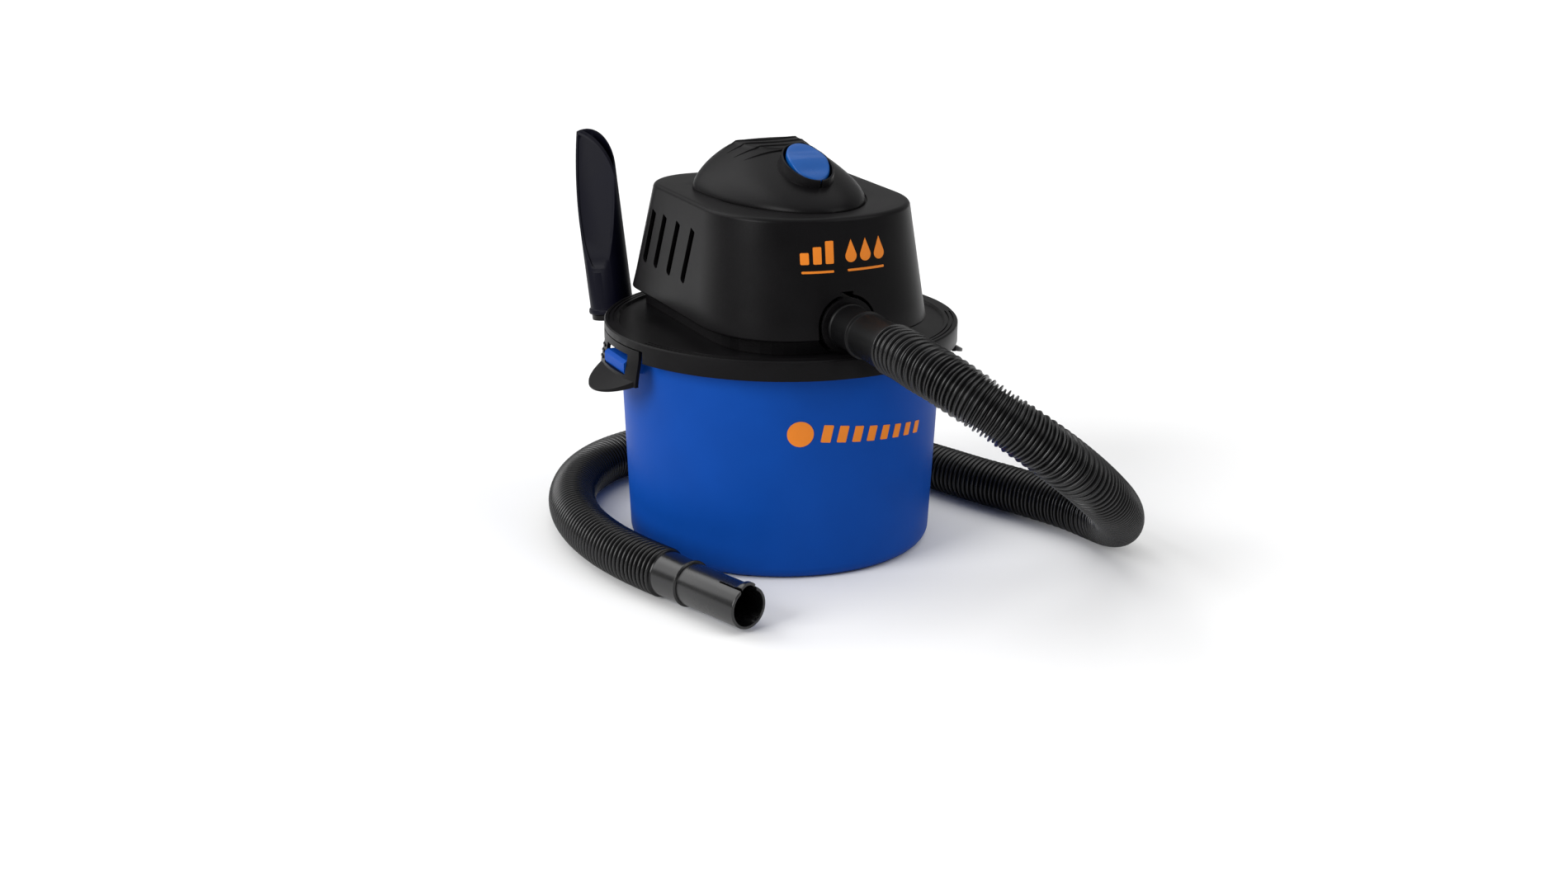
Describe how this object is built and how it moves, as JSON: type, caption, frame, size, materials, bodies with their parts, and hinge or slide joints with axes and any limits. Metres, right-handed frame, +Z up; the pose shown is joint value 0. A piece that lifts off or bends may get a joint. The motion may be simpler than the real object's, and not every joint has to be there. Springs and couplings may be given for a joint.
{
  "type": "shop vacuum",
  "caption": "Compact wet and dry shop vacuum with a round tank, latched lid, boxy motor head, corrugated hose and a crevice tool on its post.",
  "frame": {"origin": "centre of the tank's flat underside, on the floor", "axes": "+Z up, -Y towards the hose port at the front, latches at -X and +X"},
  "size_m": [0.413, 0.5219, 0.3144],
  "materials": {
    "black_plastic": "fine satin moulded texture",
    "blue_plastic": "smooth moulded, slightly translucent",
    "switch_blue": "smooth",
    "seal_rubber": "matt",
    "brass": "stamped",
    "wire_red": "extruded insulation",
    "zinc_steel": "zinc plated",
    "aluminium": "pressed sheet",
    "cast_alloy": "die cast",
    "lamination_steel": "stacked laminations",
    "copper_wire": "varnished winding wire",
    "shaft_steel": "ground",
    "carbon": "pressed carbon",
    "grey_plastic": "moulded",
    "float_plastic": "moulded",
    "filter_cloth": "thin woven cloth",
    "tool_plastic": "satin moulded",
    "cuff_plastic": "satin moulded",
    "hose_plastic": "corrugated, satin gloss"
  },
  "bodies": {
    "tank": {"tank": "blue_plastic"},
    "latch_left": {"latch_left": "black_plastic"},
    "latch_right": {"latch_right": "black_plastic"},
    "rocker": {"switch_rocker": "switch_blue"},
    "rotor": {"impeller": "aluminium", "armature_core": "lamination_steel", "armature_windings": "copper_wire", "commutator": "brass", "motor_shaft": "shaft_steel", "cooling_fan": "grey_plastic"},
    "float": {"float_ball": "float_plastic"},
    "tool": {"crevice_tool": "tool_plastic"},
    "cuff": {"port_cuff": "cuff_plastic"},
    "lid": {"lid": "black_plastic", "lid_plinth": "black_plastic", "tool_holder": "black_plastic", "lid_gasket": "seal_rubber", "inlet_port": "black_plastic", "inlet_deflector": "black_plastic", "head_cover": "black_plastic", "motor_cap": "black_plastic", "switch_housing": "black_plastic", "switch_terminals": "brass", "lead_wires": "wire_red", "cord_gland": "seal_rubber", "motor_seal_lower": "seal_rubber", "fan_housing": "zinc_steel", "motor_bracket_lower": "cast_alloy", "motor_bracket_upper": "cast_alloy", "stator_stack": "lamination_steel", "field_coils": "copper_wire", "bearing_lower": "shaft_steel", "bearing_upper": "shaft_steel", "brush_holders": "brass", "carbon_brushes": "carbon", "motor_bolts": "zinc_steel", "head_screws": "zinc_steel", "cap_screws": "zinc_steel", "filter_cage": "grey_plastic", "cage_screws": "zinc_steel", "cloth_filter": "filter_cloth", "retaining_band": "seal_rubber", "hose_tube": "hose_plastic", "hose_cuff": "cuff_plastic", "hose_fitting": "cuff_plastic"}
  },
  "joints": [
    {"name": "lid_lift", "type": "slide", "parent": "tank", "child": "lid", "axis": [0, 0, 1], "range_m": [0, 0.18]},
    {"name": "latch_left_flex", "type": "hinge", "parent": "lid", "child": "latch_left", "pos_m": [-0.1356, 0, 0.17], "axis": [0, 1, 0], "range_deg": [0, 12], "stiffness_Nm_per_rad": 1},
    {"name": "latch_right_flex", "type": "hinge", "parent": "lid", "child": "latch_right", "pos_m": [0.1356, 0, 0.17], "axis": [0, -1, 0], "range_deg": [0, 12], "stiffness_Nm_per_rad": 1},
    {"name": "switch_rock", "type": "hinge", "parent": "lid", "child": "rocker", "pos_m": [0, -0.045, 0.3025], "axis": [-1, 0, 0], "range_deg": [0, 12]},
    {"name": "motor_spin", "type": "hinge", "parent": "lid", "child": "rotor", "pos_m": [0, 0.005, 0.2], "axis": [0, 0, 1], "continuous": true},
    {"name": "float_rise", "type": "slide", "parent": "lid", "child": "float", "axis": [0, 0, 1], "range_m": [0, 0.035]},
    {"name": "tool_pull", "type": "slide", "parent": "lid", "child": "tool", "axis": [-0.0798, 0.114, 0.9903], "range_m": [0, 0.06]},
    {"name": "cuff_twist", "type": "hinge", "parent": "lid", "child": "cuff", "pos_m": [0, -0.12, 0.194], "axis": [0, -1, 0], "range_deg": [0, 30]}
  ]
}
